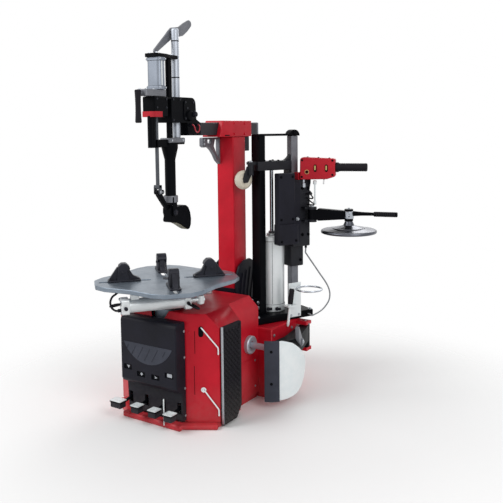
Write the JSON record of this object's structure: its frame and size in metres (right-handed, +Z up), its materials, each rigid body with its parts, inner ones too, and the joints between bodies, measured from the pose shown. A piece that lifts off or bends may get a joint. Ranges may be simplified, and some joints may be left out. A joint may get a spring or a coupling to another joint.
{
  "type": "tyre changer",
  "caption": "Tyre changer with a turntable and sliding clamp jaws, tilting column with sliding tool arm, side bead breaker, foot pedals and a bead press helper on a post.",
  "frame": {"origin": "centre of the box's base, on the floor", "axes": "+Z up, -Y towards the operator, +X towards the bead breaker side"},
  "size_m": [1.1872, 1.2824, 1.9947],
  "materials": {
    "red_paint": "gloss",
    "red_plastic": "gloss",
    "black_plastic": "satin",
    "vent_grey": "satin",
    "black_paint": "satin",
    "rubber": "matte",
    "aluminium": "satin",
    "table_steel": "satin",
    "jaw_steel": "satin",
    "cast_grey": "satin",
    "cast_alloy": "satin",
    "arm_grey": "satin",
    "blade_steel": "satin",
    "chrome": "polished",
    "nylon": "satin",
    "gear_iron": "matte"
  },
  "bodies": {
    "machine": {"cabinet_shell": "red_paint", "front_cover": "black_plastic", "vent_panel": "vent_grey", "base_frame": "red_paint", "rear_chassis": "red_paint", "rubber_pad": "rubber", "gearbox": "gear_iron", "drive_motor": "gear_iron", "drive_belt": "rubber", "bead_cylinder": "gear_iron", "column_bracket": "black_paint", "helper_base": "black_paint", "helper_post": "black_paint", "lift_cylinder": "aluminium", "guide_rail": "chrome", "tool_holder": "cast_grey", "air_hose": "rubber"},
    "turntable": {"turntable_plate": "table_steel", "clamp_cylinder_front": "aluminium", "clamp_cylinder_rear": "aluminium", "clamp_hose": "rubber"},
    "jaw_1": {"jaw_1": "jaw_steel"},
    "jaw_2": {"jaw_2": "jaw_steel"},
    "jaw_3": {"jaw_3": "jaw_steel"},
    "jaw_4": {"jaw_4": "jaw_steel"},
    "column": {"column": "red_paint", "arm_sleeve": "red_paint", "arm_brace": "cast_grey"},
    "arm": {"arm_tube": "arm_grey", "tool_housing": "black_plastic"},
    "lock_knob": {"lock_knob": "black_plastic"},
    "tool": {"guide_tube": "chrome", "guide_post": "black_paint", "tool_cylinder": "aluminium", "handle_bracket": "black_plastic", "slide_block": "black_plastic", "tool_column": "black_paint"},
    "claw": {"mount_claw": "black_plastic"},
    "link_rod": {"link_rod": "cast_grey"},
    "top_lever": {"top_lever": "cast_grey"},
    "bead_arm": {"bead_arm": "arm_grey", "bead_blade": "blade_steel", "blade_guard": "vent_grey"},
    "bead_rod": {"bead_rod": "chrome"},
    "carriage": {"carriage_frame": "cast_alloy", "carriage_cover": "black_plastic", "lift_piston_rod": "chrome", "control_box": "red_plastic", "control_grip": "black_plastic"},
    "disc_arm": {"disc_arm": "black_paint"},
    "press_disc": {"press_disc": "chrome"},
    "roller_arm": {"roller_arm": "arm_grey"},
    "press_roller": {"press_roller": "nylon"},
    "valve_lever": {"valve_lever": "chrome"},
    "stored_lever": {"stored_lever": "blade_steel"},
    "pedal_1": {"pedal_1": "blade_steel"},
    "pedal_2": {"pedal_2": "blade_steel"},
    "pedal_3": {"pedal_3": "blade_steel"},
    "pedal_4": {"pedal_4": "blade_steel"}
  },
  "joints": [
    {"name": "turntable_spin", "type": "hinge", "parent": "machine", "child": "turntable", "pos_m": [-0.26815, -0.3259, 0.7], "axis": [0, 0, 1], "continuous": true},
    {"name": "jaw_1_slide", "type": "slide", "parent": "turntable", "child": "jaw_1", "axis": [0.6691, 0.7431, 0], "range_m": [-0.06, 0.06]},
    {"name": "jaw_2_slide", "type": "slide", "parent": "turntable", "child": "jaw_2", "axis": [-0.7431, 0.6691, 0], "range_m": [-0.06, 0.06]},
    {"name": "jaw_3_slide", "type": "slide", "parent": "turntable", "child": "jaw_3", "axis": [-0.6691, -0.7431, 0], "range_m": [-0.06, 0.06]},
    {"name": "jaw_4_slide", "type": "slide", "parent": "turntable", "child": "jaw_4", "axis": [0.7431, -0.6691, 0], "range_m": [-0.06, 0.06]},
    {"name": "column_tilt", "type": "hinge", "parent": "machine", "child": "column", "pos_m": [-0.26815, 0.2591, 0.47], "axis": [-1, 0, 0], "range_deg": [0, 25]},
    {"name": "arm_slide", "type": "slide", "parent": "column", "child": "arm", "axis": [0, 1, 0], "range_m": [-0.09, 0.04]},
    {"name": "lock_knob_turn", "type": "hinge", "parent": "arm", "child": "lock_knob", "pos_m": [-0.22315, -0.1609, 1.515], "axis": [1, 0, 0], "range_deg": [-90, 90]},
    {"name": "tool_lift", "type": "slide", "parent": "arm", "child": "tool", "axis": [0, 0, 1], "range_m": [-0.12, 0.045]},
    {"name": "tool_hook", "type": "hinge", "parent": "tool", "child": "claw", "pos_m": [-0.26815, -0.2909, 1.03], "axis": [1, 0, 0], "range_deg": [-4, 15]},
    {"name": "link_slide", "type": "slide", "parent": "tool", "child": "link_rod", "axis": [0, 0, 1], "range_m": [-0.0245, 0.0066]},
    {"name": "top_lever_turn", "type": "hinge", "parent": "tool", "child": "top_lever", "pos_m": [-0.26815, -0.2259, 1.912], "axis": [1, 0, 0], "range_deg": [-25, 0]},
    {"name": "bead_swing", "type": "hinge", "parent": "machine", "child": "bead_arm", "pos_m": [0.11785, 0.3941, 0.29], "axis": [0, 0, 1], "range_deg": [-12, 10]},
    {"name": "bead_rod_slide", "type": "slide", "parent": "machine", "child": "bead_rod", "axis": [1, 0, 0], "range_m": [-0.081, 0.068]},
    {"name": "carriage_lift", "type": "slide", "parent": "machine", "child": "carriage", "axis": [0, 0, 1], "range_m": [-0.17, 0.1], "deforming": ["air_hose"]},
    {"name": "disc_arm_swing", "type": "hinge", "parent": "carriage", "child": "disc_arm", "pos_m": [0.13985, 0.4361, 0.965], "axis": [0, 0, 1], "range_deg": [-45, 25]},
    {"name": "press_disc_spin", "type": "hinge", "parent": "disc_arm", "child": "press_disc", "pos_m": [0.33787, 0.48916, 0.9], "axis": [0, 0, 1], "continuous": true},
    {"name": "roller_arm_swing", "type": "hinge", "parent": "carriage", "child": "roller_arm", "pos_m": [-0.09351, 0.17972, 1.23], "axis": [0, 0, 1], "range_deg": [-10, 45]},
    {"name": "press_roller_spin", "type": "hinge", "parent": "roller_arm", "child": "press_roller", "pos_m": [-0.13691, 0.17183, 1.165], "axis": [0.9063, -0.4226, 0], "continuous": true},
    {"name": "valve_lever_turn", "type": "hinge", "parent": "carriage", "child": "valve_lever", "pos_m": [0.15202, 0.44646, 1.15], "axis": [0.9397, 0.342, 0], "range_deg": [-12, 12], "stiffness_Nm_per_rad": 0.4},
    {"name": "stored_lever_lift", "type": "slide", "parent": "machine", "child": "stored_lever", "axis": [0.0046, 0.2277, 0.9737], "range_m": [0, 0.02]},
    {"name": "pedal_1_press", "type": "hinge", "parent": "machine", "child": "pedal_1", "pos_m": [-0.42315, -0.3779, 0.108], "axis": [1, 0, 0], "range_deg": [0, 12], "stiffness_Nm_per_rad": 8, "springref_deg": -6.88},
    {"name": "pedal_2_press", "type": "hinge", "parent": "machine", "child": "pedal_2", "pos_m": [-0.32015, -0.3779, 0.108], "axis": [1, 0, 0], "range_deg": [0, 12], "stiffness_Nm_per_rad": 8, "springref_deg": -6.88},
    {"name": "pedal_3_press", "type": "hinge", "parent": "machine", "child": "pedal_3", "pos_m": [-0.21015, -0.3779, 0.108], "axis": [1, 0, 0], "range_deg": [0, 12], "stiffness_Nm_per_rad": 8, "springref_deg": -6.88},
    {"name": "pedal_4_press", "type": "hinge", "parent": "machine", "child": "pedal_4", "pos_m": [-0.11315, -0.3779, 0.108], "axis": [1, 0, 0], "range_deg": [0, 12], "stiffness_Nm_per_rad": 8, "springref_deg": -6.88}
  ],
  "couplings": [
    {"joint": "jaw_2_slide", "follows": "jaw_1_slide", "ratio": 1},
    {"joint": "jaw_3_slide", "follows": "jaw_1_slide", "ratio": 1},
    {"joint": "jaw_4_slide", "follows": "jaw_1_slide", "ratio": 1},
    {"joint": "link_slide", "follows": "tool_hook", "m_per_rad": -0.091},
    {"joint": "bead_rod_slide", "follows": "bead_swing", "m_per_rad": 0.382}
  ]
}
